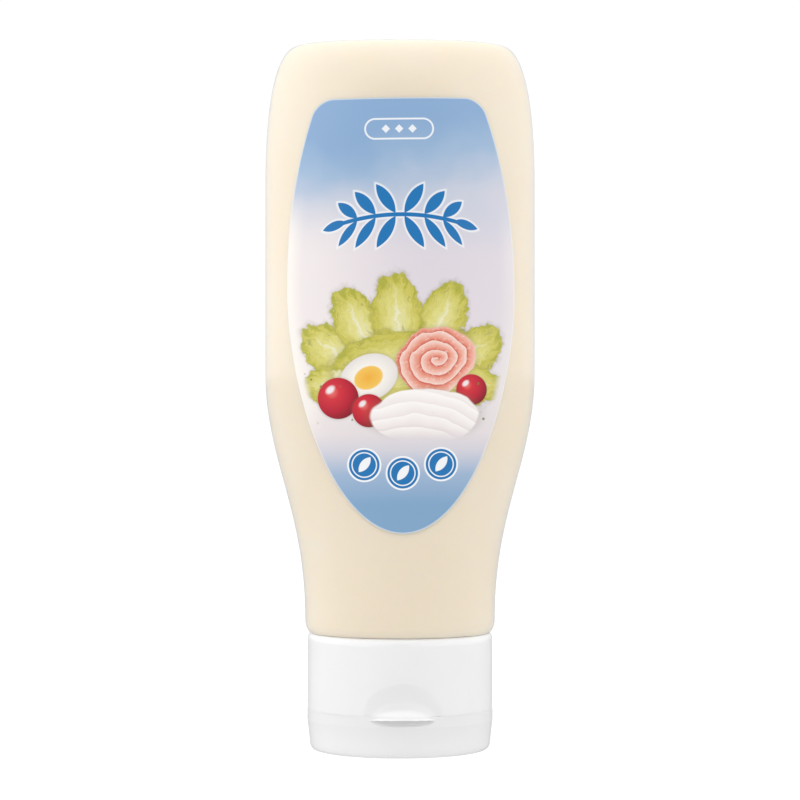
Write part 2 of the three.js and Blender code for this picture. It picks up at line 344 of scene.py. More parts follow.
def flank_half_width(height):
    """Half-width of the flank, found by halving steps along one cubic curve."""
    if height <= FOOT_TOP:
        return FOOT_HALF_WIDTH
    if height >= BELLY_BOTTOM:
        return BELLY_HALF_WIDTH
    handles = (FOOT_TOP + FLANK_LOW_HANDLE, BELLY_BOTTOM - FLANK_HIGH_HANDLE)
    heights = (FOOT_TOP, *handles, BELLY_BOTTOM)
    widths = (FOOT_HALF_WIDTH, FOOT_HALF_WIDTH, BELLY_HALF_WIDTH, BELLY_HALF_WIDTH)
    low, high = 0.0, 1.0
    for _ in range(30):
        middle = (low + high) / 2
        if bezier(heights, middle) < height:
            low = middle
        else:
            high = middle
    return bezier(widths, low)


def crown_inset(height, top=HEIGHT):
    rise = limit((height - CROWN_BOTTOM) / (top - CROWN_BOTTOM))
    return CROWN_INSET * (1 - (1 - rise ** CROWN_EXPONENT) ** (1 / CROWN_EXPONENT))


def section_at(height, inset):
    """The level section at a height: height, half-width, half-depth and exponent."""
    half_width = flank_half_width(height)
    fullness = (half_width - FOOT_HALF_WIDTH) / (BELLY_HALF_WIDTH - FOOT_HALF_WIDTH)
    half_depth = lerp(FOOT_HALF_DEPTH, BELLY_HALF_DEPTH, fullness)
    exponent = lerp(ROUND_EXPONENT, BELLY_EXPONENT, fullness)
    return height, half_width - inset, half_depth - inset, exponent


def round_section(radius, height):
    return height, radius, radius, ROUND_EXPONENT


# %% Sections from the base's middle down to the foot
CROWN_STEPS = 26
BELLY_STEPS = 10
FLANK_STEPS = 40
FOOT_STEPS = 9
DIMPLE_STEPS = 9


def dimple_sections(shrink):
    """The shallow hollow in the base, from near its middle out to the flat rim."""
    sections = []
    for step in range(DIMPLE_STEPS + 1):
        share = step / DIMPLE_STEPS
        inset = CROWN_INSET + DIMPLE_RIM + DIMPLE_SLOPE * (1 - share) + shrink
        drop = DIMPLE_DEPTH * (1 + math.cos(math.pi * share)) / 2
        _, half_width, half_depth, exponent = section_at(HEIGHT, inset)
        sections.append((HEIGHT - shrink - drop, half_width, half_depth, exponent))
    return sections


def body_sections(shrink, foot_shrink):
    """The outside, made smaller all round, from the crown's top edge down to the foot's bottom."""
    top = HEIGHT - shrink
    bottom = FOOT_BOTTOM + foot_shrink
    sections = []
    for step in range(CROWN_STEPS, 0, -1):
        rise = math.sin(math.pi / 2 * step / CROWN_STEPS) ** (2 / CROWN_EXPONENT)
        height = lerp(CROWN_BOTTOM, top, rise)
        sections.append(section_at(height, crown_inset(height, top) + shrink))
    for step in range(BELLY_STEPS, 0, -1):
        sections.append(section_at(lerp(BELLY_BOTTOM, CROWN_BOTTOM, step / BELLY_STEPS), shrink))
    for step in range(FLANK_STEPS, -1, -1):
        sections.append(section_at(lerp(FOOT_TOP, BELLY_BOTTOM, step / FLANK_STEPS), shrink))
    for step in range(1, FOOT_STEPS + 1):
        turn = math.pi / 2 * step / FOOT_STEPS
        height = FOOT_TOP - (FOOT_TOP - bottom) * math.sin(turn)
        inset = FOOT_INSET * (1 - math.cos(turn)) + lerp(shrink, foot_shrink, step / FOOT_STEPS)
        sections.append(section_at(height, inset))
    return sections


# %% [markdown]
# ## A loft by extrusion
# Blender has no loft operator in bmesh. A circle is extruded edge by edge instead: each new ring
# is moved to the next section. Every point keeps its turn round the axis in a layer of its own, so
# a ring takes the right oval whatever shape the ring before it had.

# %% The loft
BODY_SIDES = 176


def bend(value, exponent):
    return math.copysign(abs(value) ** (2 / exponent), value)


def shape_ring(points, turn, section):
    height, half_width, half_depth, exponent = section
    for point in points:
        across = half_width * bend(math.cos(point[turn]), exponent)
        point.co = (across, half_depth * bend(math.sin(point[turn]), exponent), height)


def extruded(bm, edges):
    """Extrudes a ring of edges, and gives the new points and the new ring."""
    grown = bmesh.ops.extrude_edge_only(bm, edges=edges)["geom"]
    points = [item for item in grown if isinstance(item, bmesh.types.BMVert)]
    fresh = set(points)
    ring = [
        item for item in grown
        if isinstance(item, bmesh.types.BMEdge) and fresh.issuperset(item.verts)
    ]
    return points, ring


def loft(sections):
    """A closed skin through the sections, with a pole in the middle of the first and the last."""
    bm = bmesh.new()
    turn = bm.verts.layers.float.new("turn")
    points = bmesh.ops.create_circle(bm, segments=BODY_SIDES, radius=1.0)["verts"]
    for point in points:
        point[turn] = math.atan2(point.co.y, point.co.x)
    shape_ring(points, turn, sections[0])
    ring = first_ring = [*bm.edges]
    for section in sections[1:]:
        points, ring = extruded(bm, ring)
        shape_ring(points, turn, section)
    for edges, section in ((first_ring, sections[0]), (ring, sections[-1])):
        points, _ = extruded(bm, edges)
        bmesh.ops.pointmerge(bm, verts=points, merge_co=(0, 0, section[0]))
    bmesh.ops.recalc_face_normals(bm, faces=bm.faces)
    return bm


# %% [markdown]
# ## The clear wall
# The wall is 0.8 mm of clear plastic, and its rim shows as a thin paler line round the cream. It is
# one closed skin: down the outside, round the mouth of the neck, and up the inside. A shell with a
# Solidify modifier would do as well, but the neck and the dimple need their own inner forms.

# %% The wall's skin
outside = [*dimple_sections(0), *body_sections(0, 0)]
inside = [*dimple_sections(WALL), *body_sections(WALL, WALL)[:-1]]
neck = [
    round_section(NECK_RADIUS, FOOT_BOTTOM),
    round_section(NECK_RADIUS, NECK_MOUTH),
    round_section(NECK_BORE, NECK_MOUTH),
    round_section(NECK_BORE, FOOT_BOTTOM + WALL),
]
wall_bm = loft([*outside, *neck, *reversed(inside)])

# %% [markdown]
# Clear plastic lets light through and reflects a little of it, more at a glancing angle. Glass
# shaders trace that in full, and are slow and noisy for a wall that touches its filling all over.
# A mix of a Transparent and a Glossy shader shows the same and stays clean. The share of gloss
# grows with the fifth power of how far the surface turns away, which is Schlick's rule for glass.
# A blown wall also has faint ripples, and a fine seam where the halves of the mould met.

# %% The wall's finish
WALL_TINT = (0.985, 0.985, 0.98)
WALL_SHINE = 0.07
WALL_ROUGHNESS = 0.13
RIPPLE_SIZE = 22 * MM
RIPPLE_DEPTH = 0.05 * MM
SEAM_HALF_WIDTH = 0.16 * MM
SEAM_DEPTH = 0.05 * MM

wall_material, paint = new_material("clear_wall")
place = paint.place()
_, depth_across, _ = paint.split(place)
seam = abs(depth_across).rise(SEAM_HALF_WIDTH, 0.0)
ripples = paint.bump(paint.noise(place, RIPPLE_SIZE, 1.0), RIPPLE_DEPTH)
surface = paint.bump(seam, SEAM_DEPTH, ripples)
facing = paint.node("LayerWeight", {"Blend": 0.5}, "Facing")
gloss = facing ** 5 * (1 - WALL_SHINE) + WALL_SHINE
clear = paint.node("BsdfTransparent", {"Color": (*WALL_TINT, 1)})
glossy = {"Color": (1, 1, 1, 1), "Roughness": WALL_ROUGHNESS, "Normal": surface}
shine = paint.node("BsdfAnisotropic", glossy)
paint.finish(paint.node("MixShader", {0: gloss, 1: clear, 2: shine}))

wall = finished("bottle_wall", wall_bm, wall_material)
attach(wall, "root")
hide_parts("bottle")

# %% [markdown]
# ## The filling
# The mayonnaise touches the wall all over, so its surface lies inside the wall's thickness, and no
# air gap shows. At the foot it comes closer still to the outside, or the clear bottom would show
# the dark gap over the cap. It is a satin cream that light enters a little way. Its colour drifts
# very slightly from place to place, as oil and egg do, and it keeps faint smears from filling.

# %% The filling's skin and finish
FILL_SHRINK = 0.27 * MM
FILL_FOOT_SHRINK = 0.04 * MM
CREAM = (0.925, 0.806, 0.648)
CREAM_PALE = (0.935, 0.827, 0.682)
DRIFT_SIZE = 30 * MM
DRIFT_SHARE = 0.75
SMEAR_SIZE = 6 * MM
SMEAR_STRETCH = (1.0, 1.0, 0.35)
SMEAR_DEPTH = 0.02 * MM

filling_material, paint = new_material("mayonnaise")
place = paint.place()
drift = paint.noise(place, DRIFT_SIZE, 2.0)
smear = paint.noise(paint.vector("MULTIPLY", place, SMEAR_STRETCH), SMEAR_SIZE, 3.0)
clouds = drift * DRIFT_SHARE + smear * (1 - DRIFT_SHARE)
cream = paint.mix(CREAM, CREAM_PALE, clouds.rise(0.3, 0.7))
paint.finish(paint.principled(
    Base_Color=cream,
    Roughness=0.5,
    Specular_IOR_Level=0.1,
    Subsurface_Weight=0.5,
    Subsurface_Radius=(1.0, 0.8, 0.5),
    Subsurface_Scale=2.5 * MM,
    Normal=paint.bump(smear, SMEAR_DEPTH),
))

NECK_FILL = NECK_BORE + FILL_SHRINK
filling_sections = [
    *dimple_sections(FILL_SHRINK),
    *body_sections(FILL_SHRINK, FILL_FOOT_SHRINK),
    round_section(NECK_FILL, FOOT_BOTTOM + FILL_FOOT_SHRINK),
    round_section(NECK_FILL, NECK_MOUTH + FILL_SHRINK),
]
filling = finished("filling", loft(filling_sections), filling_material)
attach(filling, "root")
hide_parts("mayonnaise")

# %% [markdown]
# ## The labels
# The front and the back carry a printed film with a flat top edge, full sides and a rounded point
# below. It could be cut out of the wall's own mesh, but a grid whose rows are stretched to the
# outline keeps an even edge. Each point is then laid on the bottle's face, a hair above it.

# %% Outline of the label
LABEL_TOP = 179.3 * MM
LABEL_WIDEST = 125.9 * MM
LABEL_BOTTOM = 61.2 * MM
LABEL_HALF_WIDTH = 31.1 * MM
LABEL_TOP_NARROWING = 0.287
LABEL_TOP_EXPONENT = 2.23
LABEL_LOW_EXPONENT = 1.75
LABEL_CORNER = 4.4 * MM
LABEL_SHIFT = 0.3 * MM
LABEL_TILT = math.radians(0.6)
LABEL_PIVOT = 120 * MM
LABEL_LIFT = 0.14 * MM
FILM_THICKNESS = 0.1 * MM
LABEL_TURN = math.pi / 3
LOW_SHARE = 0.5
CORNER_SHARE = 0.88


def label_half_width(height):
    if height <= LABEL_WIDEST:
        drop = (LABEL_WIDEST - height) / (LABEL_WIDEST - LABEL_BOTTOM)
        return LABEL_HALF_WIDTH * math.sqrt(max(1 - drop ** LABEL_LOW_EXPONENT, 0.0))
    rise = (height - LABEL_WIDEST) / (LABEL_TOP - LABEL_WIDEST)
    side = LABEL_HALF_WIDTH * (1 - LABEL_TOP_NARROWING * rise ** LABEL_TOP_EXPONENT)
    above = limit((height - LABEL_TOP) / LABEL_CORNER + 1)
    return side - LABEL_CORNER * (1 - math.sqrt(1 - above ** 2))


def label_height(share):
    """Height of a row, with rows closer together at the point and in the round corners."""
    if share <= LOW_SHARE:
        turn = math.pi / 2 * share / LOW_SHARE
        return LABEL_WIDEST - (LABEL_WIDEST - LABEL_BOTTOM) * math.cos(turn)
    corner = LABEL_TOP - LABEL_CORNER
    if share <= CORNER_SHARE:
        return lerp(LABEL_WIDEST, corner, (share - LOW_SHARE) / (CORNER_SHARE - LOW_SHARE))
    turn = math.pi / 2 * (share - CORNER_SHARE) / (1 - CORNER_SHARE)
    return corner + LABEL_CORNER * math.sin(turn)


def face_depth(across, height, lift):
    """How far the bottle's face stands in front of the axis, moved out by the lift."""
    _, half_width, half_depth, exponent = section_at(height, crown_inset(height) - lift)
    return half_depth * (1 - abs(across / half_width) ** exponent) ** (1 / exponent)


def label_point(share, height, lift):
    """A point of the label, stuck on a little askew: turned about the bottle's middle line."""
    flat = Vector((LABEL_SHIFT + share * label_half_width(height), height - LABEL_PIVOT))
    flat.rotate(Matrix.Rotation(LABEL_TILT, 2))
    across, height = flat.x, flat.y + LABEL_PIVOT
    return Vector((across, -face_depth(across, height, lift), height))


# %% The label's skin
LABEL_COLUMNS = 96
LABEL_ROWS = 150
OUTLINE_POINTS = 1500
SAME_POINT = 0.001 * MM


def outline_tree():
    """A search tree of points along the label's outline, to measure distances from it."""
    shares = [step / OUTLINE_POINTS for step in range(OUTLINE_POINTS + 1)]
    rows = [(side, label_height(share)) for share in shares for side in (-1, 1)]
    rows += [(2 * share - 1, LABEL_TOP) for share in shares]
    outline = [label_point(*row, LABEL_LIFT) for row in rows]
    tree = kdtree.KDTree(len(outline))
    for index, point in enumerate(outline):
        tree.insert(point, index)
    tree.balance()
    return tree


def label_skin():
    """The printed film as a thin closed slab, with the distance from its edge on each point."""
    bm = bmesh.new()
    bmesh.ops.create_grid(bm, x_segments=LABEL_COLUMNS, y_segments=LABEL_ROWS, size=1.0)
    edge = outline_tree()
    margin = bm.verts.layers.float.new("margin")
    for point in bm.verts:
        share = math.sin(point.co.x * LABEL_TURN) / math.sin(LABEL_TURN)
        height = label_height((point.co.y + 1) / 2)
        point.co = label_point(share, height, LABEL_LIFT)
        point[margin] = edge.find(point.co)[2]
    bmesh.ops.remove_doubles(bm, verts=bm.verts, dist=SAME_POINT)
    bmesh.ops.recalc_face_normals(bm, faces=bm.faces)
    if sum(face.normal.y for face in bm.faces) > 0:
        bmesh.ops.reverse_faces(bm, faces=bm.faces)
    bmesh.ops.solidify(bm, geom=bm.faces[:], thickness=FILM_THICKNESS)
    return bm


# %% [markdown]
# ## The print
# The film is printed in sky blue that fades through lavender white and back to blue. The middle
# carries a generic picture of a salad, with a blue sprig and a small plate above it and three round
# seals below. A painted image could carry that, but shapes worked out from distances stay sharp at
# any size. Every shape is a distance in metres, negative inside it.

# %% Colours of the print
SKY = seen(140, 173, 211)
SKY_LIGHT = seen(160, 187, 217)
HAZE = seen(202, 208, 223)
LAVENDER = seen(226, 218, 226)
ROSE_WHITE = seen(230, 222, 224)
LOW_HAZE = seen(215, 213, 222)
LOW_BLUE = seen(160, 184, 213)
DEEP_SKY = seen(131, 168, 203)
INK_BLUE = seen(24, 118, 184)
PAPER = seen(246, 248, 250)
# A white for the painted light on the left side of the label.
LEFT_LIGHT_WHITE = seen(248, 240, 236)
# A white for the painted sheen near the label's side edges.
EDGE_SHEEN_WHITE = seen(252, 246, 238)


def mask(distance, soft=0.08 * MM):
    """1 inside a shape and 0 outside, with a soft edge of the width given."""
    return distance.rise(soft, -soft)


def disc(tree, where, centre, radius):
    across, height = centre
    return tree.vector("DISTANCE", where, (across, height, 0.0), output="Value") - radius


def leaf(tree, where, base, tip, width):
    """A pointed leaf: what two large circles have in common."""
    base, tip = Vector(base), Vector(tip)
    length = (tip - base).length
    radius = (length ** 2 + width ** 2) / (4 * width)
    side = (tip - base).orthogonal().normalized() * (radius - width / 2)
    middle = (base + tip) / 2
    one = disc(tree, where, middle + side, radius)
    return one.at_least(disc(tree, where, middle - side, radius))


def print_place(tree, facing):
    """Across and height on the flat label. Facing is 1 on the front label and -1 on the back."""
    side, _, level = tree.split(tree.place())
    side, up = side * float(facing), level - LABEL_PIVOT
    across = side * math.cos(LABEL_TILT) + up * math.sin(LABEL_TILT) - LABEL_SHIFT
    return across, up * math.cos(LABEL_TILT) - side * math.sin(LABEL_TILT) + LABEL_PIVOT


# %% The ground of the print, by height in millimetres
GROUND = (
    (61, DEEP_SKY), (69, DEEP_SKY), (77, LOW_BLUE), (83.5, LOW_HAZE), (88, ROSE_WHITE),
    (136, LAVENDER), (152, HAZE), (163, SKY_LIGHT), (172, SKY), (181, SKY),
)
CLOUD_SIZE = 24 * MM
CLOUD_DRIFT = 26 * MM
CLOUD_RISE = in_mm(132, 160)
SLANT = 0.13
SLANT_RISE = in_mm(145, 155)


def ground(tree, where, across, height):
    """Sky above and water below, with a cloudy upper fade that slants, and a hazy middle."""
    clouds = tree.noise(where, CLOUD_SIZE, 3.0) - 0.5
    drift = clouds * CLOUD_DRIFT * height.rise(*CLOUD_RISE)
    drift = drift - across * SLANT * height.rise(*SLANT_RISE)
    share = (height + drift - LABEL_BOTTOM) / (LABEL_TOP - LABEL_BOTTOM)
    span = (LABEL_TOP - LABEL_BOTTOM) / MM
    stops = [(min((level - GROUND[0][0]) / span, 1.0), colour) for level, colour in GROUND]
    return tree.ramp(share, *stops)


def wandering(tree, where, size, amount):
    """The place, moved about by noise, which makes edges frilly or uneven."""
    lumps = tree.noise(where, size, 2.0, output="Color")
    middled = tree.vector("SUBTRACT", lumps, (0.5, 0.5, 0.5))
    return tree.vector("MULTIPLY_ADD", middled, (amount, amount, 0.0), where)


def oval(tree, where, centre, halves, turn=0.0):
    """The place within an oval, whose rim is at length 1, and that length."""
    values = {
        "Vector": where,
        "Location": (*centre, 0.0),
        "Rotation": (0.0, 0.0, math.radians(turn)),
        "Scale": (*halves, 1.0),
    }
    local = tree.node("Mapping", values, vector_type="TEXTURE")
    return local, tree.length(local)


# %% [markdown]
# ### A salad in the middle of the print
# Frilly leaves, a rolled ribbon, half an egg, small tomatoes and a spoon of cream lie over each
# other. Each is an oval with its own ramp of colours from the middle to the rim, and a soft shade
# just outside it, which sets it off from what lies behind.

# %% Leaves
LEAF_RAMP = (
    (0.0, seen(240, 236, 196)), (0.5, seen(225, 218, 132)),
    (0.85, seen(204, 196, 88)), (1.0, seen(176, 176, 66)),
)
LEAF_FRILL = in_mm(2.4, 3.6)
LEAVES = (
    ((-17.5, 110), (11.5, 6.5), 146), ((17.5, 109), (11.5, 6.5), 34), ((-11, 117), (12, 6.5), 118),
    ((10.5, 118), (12, 6.5), 66), ((-1, 119), (13, 6.8), 94), ((-18, 102), (9, 5.5), 182),
    ((18, 101.5), (9.5, 5.5), 355), ((-2, 106), (17, 10), 5),
)


def laid(tree, below, colour, length, rim=(1.02, 0.98), reach=1.16, strength=0.3):
    """An oval's colour, laid over a soft shade that shows just outside its rim."""
    shaded = tree.mix(below, seen(120, 112, 84), length.rise(reach, 0.94) * strength)
    return tree.mix(shaded, colour, length.rise(*rim))


def paint_leaf(tree, below, frilly, centre, halves, turn):
    local, length = oval(tree, frilly, in_mm(*centre), in_mm(*halves), turn)
    along, across, _ = tree.split(local)
    folds = tree.noise(tree.vector("MULTIPLY", local, (1.6, 6.0, 1.0)), 1.0, 3.0, 0.6)
    flesh = tree.ramp(length * 0.8 + folds - 0.32, *LEAF_RAMP)
    rib = abs(across).rise(0.11, 0.02) * along.rise(0.8, 0.1)
    shadowed = tree.mix(flesh, seen(122, 126, 38), folds.rise(0.44, 0.3) * 0.6)
    leafy = tree.mix(shadowed, seen(240, 238, 206), rib * 0.75)
    return laid(tree, below, leafy, length, (1.03, 0.97))


# %% Ribbon, egg, tomatoes and cream, each with its middle, its half-sizes and its turn
RIBBON = (in_mm(9.5, 108), in_mm(11, 9), 25)
RIBBON_RAMP = (
    (0.0, seen(206, 92, 74)), (0.2, seen(232, 140, 118)),
    (0.6, seen(243, 182, 164)), (1.0, seen(250, 222, 212)),
)
RIBBON_RINGS = 3.75
RIBBON_WAVER = in_mm(7, 3.2)
FIBRE_SIZE = 0.9 * MM
EGG = (in_mm(-9, 103.5), in_mm(8.2, 6.2), 24)
EGG_RAMP = (
    (0.0, seen(244, 178, 62)), (0.46, seen(248, 200, 92)),
    (0.52, seen(250, 246, 238)), (1.0, seen(232, 226, 222)),
)
TOMATO_RAMP = (
    (0.0, seen(238, 120, 112)), (0.25, seen(214, 44, 58)),
    (0.7, seen(186, 20, 48)), (1.0, seen(134, 12, 34)),
)
SPOONFUL = (in_mm(6, 93), in_mm(15, 7.4))
SPOONFUL_RAMP = (
    (0.0, seen(226, 214, 216)), (0.3, seen(242, 234, 232)), (1.0, seen(254, 250, 247)),
)
SPOONFUL_WAVER = in_mm(9, 3)
TOMATOES = (((-17.3, 98), 5.6), ((-9, 94.6), 4.5), ((18.9, 100), 4.2))


def paint_ribbon(tree, below, where, centre, size, turn):
    """A thin slice rolled into a rose: uneven rings that wind outwards."""
    uneven = wandering(tree, where, *RIBBON_WAVER)
    local, length = oval(tree, uneven, centre, size, turn)
    along, across, _ = tree.split(local)
    way_round = across.math("ARCTAN2", along) / (2 * math.pi)
    winding = (length * RIBBON_RINGS - way_round).math("FRACT")
    fold = tree.ramp(winding, *RIBBON_RAMP)
    fibres = tree.noise(where, FIBRE_SIZE, 2.0)
    fold = tree.mix(fold, seen(252, 232, 224), fibres.rise(0.52, 0.72) * 0.45)
    return laid(tree, below, fold, length, (1.02, 0.97))


def paint_egg(tree, below, where, centre, size, turn):
    _, length = oval(tree, where, centre, size, turn)
    return laid(tree, below, tree.ramp(length, *EGG_RAMP), length)


def paint_tomato(tree, below, where, centre, radius):
    """A round fruit, brightest up on its left, with one small white glint."""
    _, length = oval(tree, where, centre, (radius, radius))
    lit = (centre[0] - radius * 0.3, centre[1] + radius * 0.3)
    _, from_light = oval(tree, where, lit, (radius * 1.35, radius * 1.35))
    fruit = tree.ramp(from_light, *TOMATO_RAMP)
    glint_place = (centre[0] - radius * 0.38, centre[1] + radius * 0.42)
    _, glint = oval(tree, where, glint_place, (radius * 0.26, radius * 0.17), 40)
    fruit = tree.mix(fruit, PAPER, glint.rise(1.3, 0.5) * 0.85)
    return laid(tree, below, fruit, length)


def paint_spoonful(tree, below, where, centre, size):
    """A spoonful with a wound top: slanting folds that close up towards its tip."""
    uneven = wandering(tree, where, *SPOONFUL_WAVER)
    local, length = oval(tree, uneven, centre, size)
    along, across, _ = tree.split(local)
    folds = (across * 2.2 + along * along * 1.1 + along * 0.7).math("FRACT")
    body = tree.ramp(folds * 0.8 + (across * 0.25 + 0.2), *SPOONFUL_RAMP)
    return laid(tree, below, body, length, (1.02, 0.96), 1.2, 0.22)


# %% The whole picture, with a dusting of herbs
HERB_GRID = 2.9 * MM
DUSTING_SIZE = 9 * MM
HERBS_LOW = in_mm(88, 91)
HERBS_HIGH = in_mm(112, 104)
PICTURE_FADE = in_mm(85.5, 90.5)
PICTURE_MARGIN = in_mm(1.2, 4.0)


def salad(tree, below, where, height, edge):
    """The whole picture, from the leaves at the back to the cream in front."""
    frilly = wandering(tree, where, *LEAF_FRILL)
    picture = below
    for centre, halves, turn in LEAVES:
        picture = paint_leaf(tree, picture, frilly, centre, halves, turn)
    picture = paint_ribbon(tree, picture, where, *RIBBON)
    picture = paint_egg(tree, picture, where, *EGG)
    for centre, radius in TOMATOES:
        picture = paint_tomato(tree, picture, where, in_mm(*centre), radius * MM)
    picture = paint_spoonful(tree, picture, where, *SPOONFUL)
    grid = {"Vector": where, "Scale": 1 / HERB_GRID}
    specks = tree.node("TexVoronoi", grid, "Distance")
    dusted = tree.noise(where, DUSTING_SIZE, 1.0).rise(0.5, 0.6) * height.rise(*HERBS_LOW)
    herbs = specks.rise(0.17, 0.09) * dusted * height.rise(*HERBS_HIGH)
    picture = tree.mix(picture, seen(116, 118, 60), herbs * 0.8)
    shown = height.rise(*PICTURE_FADE) * edge.rise(*PICTURE_MARGIN)
    return tree.mix(below, picture, shown)


# %% [markdown]
# ### A sprig, a plate and seals in blue and white
# These are flat shapes, so each is one distance with a sharp edge. What is the same on both sides
# is drawn once on a folded place, and what repeats is drawn once about the nearest of its places.

# %% Sprig, plate and seals
SPRIG_HEIGHT = 147.6 * MM
SPRIG_ARCH = 9.0
SPRIG_REACH = 18.5 * MM
SPRIG_STEM = 0.55 * MM
SPRIG_LEAVES = (
    ((1.2, 0.4), (6.4, 8.6), 3.1), ((6.6, 0.4), (12.2, 7.6), 2.9),
    ((11.6, 0.3), (16.8, 5.9), 2.5), ((14.6, 0.0), (21.0, 0.0), 2.5),
)
HALO = 0.5 * MM
PLATE_HEIGHT = 170.8 * MM
PLATE_HALVES = in_mm(9.2, 2.7)
PLATE_LINE = 0.24 * MM
BEAD_STEP = 3.6 * MM
BEAD_REACH = 1.15 * MM
SEAL_STEP = 10.4 * MM
SEAL_HEIGHT = 77.6 * MM
SEAL_RADIUS = 4.15 * MM
SEAL_RAISE = 2.3 * MM
SEAL_RING = 0.8
SEAL_LINE = 0.16 * MM
SEAL_LEAF = (in_mm(-1.5, -1.9), in_mm(1.7, 2.1), 2.3 * MM)


def paint_sprig(tree, below, across, height):
    """A level sprig of pointed leaves, the same to both sides and above and below its stem."""
    aside = abs(across)
    above = abs(height + across * across * SPRIG_ARCH - SPRIG_HEIGHT)
    mirrored = tree.combine(aside, above)
    leaves = [
        leaf(tree, mirrored, in_mm(*base), in_mm(*tip), width * MM)
        for base, tip, width in SPRIG_LEAVES
    ]
    stem = (above - SPRIG_STEM).at_least(aside - SPRIG_REACH)
    shape = reduce(Wire.at_most, [*leaves, stem])
    haloed = tree.mix(below, PAPER, mask(shape - HALO, 0.25 * MM) * 0.75)
    return tree.mix(haloed, INK_BLUE, mask(shape))


def nearest_step(across, step, count):
    """The whole number of steps to the nearest of a row of places, kept within the row."""
    return (across / step).math("ROUND").at_least(float(-count)).at_most(float(count))


def round_box(tree, across, level, halves, corner):
    """The distance from a box with round corners."""
    sides = zip((across, level), halves)
    past = [(abs(side) - (half - corner)).at_least(0.0) for side, half in sides]
    return tree.length(tree.combine(*past)) - corner


def paint_plate(tree, below, across, height):
    """A long round-ended ring with a row of beads in it."""
    level = height - PLATE_HEIGHT
    ring = abs(round_box(tree, across, level, PLATE_HALVES, PLATE_HALVES[1]))
    beside = across - nearest_step(across, BEAD_STEP, 1) * BEAD_STEP
    bead = abs(beside) + abs(level)
    shape = (ring - PLATE_LINE).at_most(bead - BEAD_REACH)
    return tree.mix(below, PAPER, mask(shape) * 0.92)


def paint_seals(tree, below, across, height):
    """Three round blue seals with a white ring and a white leaf, the outer two set higher."""
    which = nearest_step(across, SEAL_STEP, 1)
    beside = across - which * SEAL_STEP
    level = height - SEAL_HEIGHT - abs(which) * SEAL_RAISE
    where = tree.combine(beside, level)
    out = tree.length(where)
    inner_ring = abs(out - SEAL_RADIUS * SEAL_RING) - SEAL_LINE
    marks = leaf(tree, where, *SEAL_LEAF).at_most(inner_ring)
    edged = tree.mix(below, PAPER, mask(out - SEAL_RADIUS - HALO))
    filled = tree.mix(edged, INK_BLUE, mask(out - SEAL_RADIUS))
    return tree.mix(filled, PAPER, mask(marks))


# %% A bare pale panel for the back
PANEL_HEIGHT = 111 * MM
PANEL_HALVES = in_mm(18, 20)
PANEL_CORNER = 3 * MM
PANEL_LINE = 0.18 * MM


def paint_panel(tree, below, across, height):
    """A panel with round corners and a fine blue rim."""
    out = round_box(tree, across, height - PANEL_HEIGHT, PANEL_HALVES, PANEL_CORNER)
    filled = tree.mix(below, PAPER, mask(out) * 0.85)
    return tree.mix(filled, INK_BLUE, mask(abs(out) - PANEL_LINE) * 0.8)


# %% The printed film's finish
MIDDLE_LOW = in_mm(84, 100)
MIDDLE_HIGH = in_mm(156, 138)
# How far the painted light on the left reaches, from the middle outwards.
LEFT_LIGHT_SIDE = in_mm(8, -26)
# How far in from the side edges the painted sheen reaches.
EDGE_SHEEN_REACH = 6 * MM
# Width of the pale edge line: an unprinted margin with a painted highlight.
EDGE_LINE_AND_GLINT = 0.4 * MM
FILM_ROUGHNESS = 0.34
FILM_RIPPLE_SIZE = 9 * MM
FILM_RIPPLE_DEPTH = 0.012 * MM


def print_film(name, facing, pictured):
    """A label's material, with the picture or with the bare panel in its middle."""
    material, tree = new_material(name)
    across, height = print_place(tree, facing)
    where = tree.combine(across, height)
    edge = tree.node("Attribute", output="Fac", attribute_name="margin")
    colour = ground(tree, where, across, height)
    middle = height.rise(*MIDDLE_LOW) * height.rise(*MIDDLE_HIGH)
    # Painted light: the left side of the label's middle is washed lighter and warmer, where the
    # stronger left light falls.
    left_light_share = across.rise(*LEFT_LIGHT_SIDE)
    colour = tree.mix(colour, LEFT_LIGHT_WHITE, left_light_share * middle * 0.6)
    # Painted sheen: the label's middle is paler near its side edges, where the film turns towards
    # the side lights, and most on the left.
    painted_edge_sheen = edge.rise(EDGE_SHEEN_REACH, 0.0) * middle * (left_light_share * 0.6 + 0.3)
    colour = tree.mix(colour, EDGE_SHEEN_WHITE, painted_edge_sheen)
    if pictured:
        colour = salad(tree, colour, where, height, edge)
    else:
        colour = paint_panel(tree, colour, across, height)
    for paint_on in (paint_sprig, paint_plate, paint_seals):
        colour = paint_on(tree, colour, across, height)
    # A pale line along the film's cut edge: partly an unprinted margin, partly a painted highlight
    # where the edge catches the light.
    colour = tree.mix(colour, PAPER, edge.rise(EDGE_LINE_AND_GLINT, EDGE_LINE_AND_GLINT * 0.4) * 0.6)
    ripples = tree.noise(where, FILM_RIPPLE_SIZE, 2.0)
    tree.finish(tree.principled(
        Base_Color=colour,
        Roughness=FILM_ROUGHNESS,
        Specular_IOR_Level=0.4,
        Normal=tree.bump(ripples, FILM_RIPPLE_DEPTH),
    ))
    print(name, "shader nodes:", len(tree.nodes))
    return material


front_label = finished("label_print_front", label_skin(), print_film("front_print", 1, True))
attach(front_label, "root")
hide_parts("label_front")


def turned(bm, angle):
    """Turns a piece about the bottle's axis."""
    turning = Matrix.Rotation(angle, 3, "Z")
    bmesh.ops.rotate(bm, cent=(0, 0, 0), matrix=turning, verts=bm.verts)
    return bm


back_bm = turned(label_skin(), math.pi)
back_label = finished("label_print_back", back_bm, print_film("back_print", -1, False))
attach(back_label, "root")
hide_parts("label_back")

# %% [markdown]
# ## The cap
# The white cap is moulded in one piece: a round skirt under the bottle, and a lid that flips open
# on a strap at the back. Both parts are turned shapes, so a profile of radius and height is spun
# round the axis. A Screw modifier on a curve would do that too, but the spin gives its points at
# once, and they are needed for the forms that aren't round.

